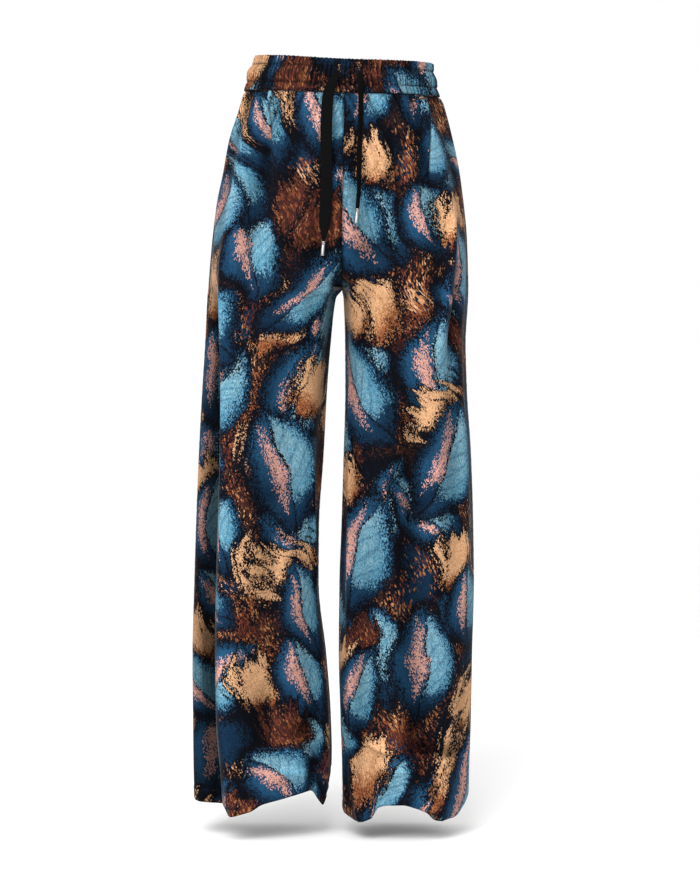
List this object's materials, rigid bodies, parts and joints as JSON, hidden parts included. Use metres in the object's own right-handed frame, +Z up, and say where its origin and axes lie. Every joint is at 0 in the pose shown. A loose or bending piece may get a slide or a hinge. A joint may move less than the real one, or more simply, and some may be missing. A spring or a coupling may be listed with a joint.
{
  "type": "wide flared drawstring trousers",
  "caption": "Wide, slightly flared pull-on trousers in printed pile cloth, worn shape and hollow, with a gathered elastic waist, slanted pockets and hanging drawstring ends.",
  "frame": {"origin": "centre of the waist, half way up the waistband, where the wearer's waist holds the garment", "axes": "+Z up, towards the waist's opening; -Y towards the front; +X towards the wearer's left"},
  "size_m": [0.4028, 0.2621, 1.0814],
  "materials": {
    "print_cloth": "printed pile cloth with a soft sheen",
    "band_cloth": "printed pile cloth, gathered over an elastic",
    "pocket_cloth": "printed pile cloth with a soft sheen",
    "tape": "flat woven black tape, matt",
    "bright_metal": "plated, worn a little dull"
  },
  "bodies": {
    "root": {"waistband": "band_cloth", "front_panel_right": "print_cloth", "front_panel_left": "print_cloth", "back_panel_right": "print_cloth", "back_panel_left": "print_cloth", "pocket_facing_right": "pocket_cloth", "pocket_facing_left": "pocket_cloth", "drawstring_right": "tape", "drawstring_left": "tape", "aglet_right": "bright_metal", "aglet_left": "bright_metal"}
  },
  "joints": []
}
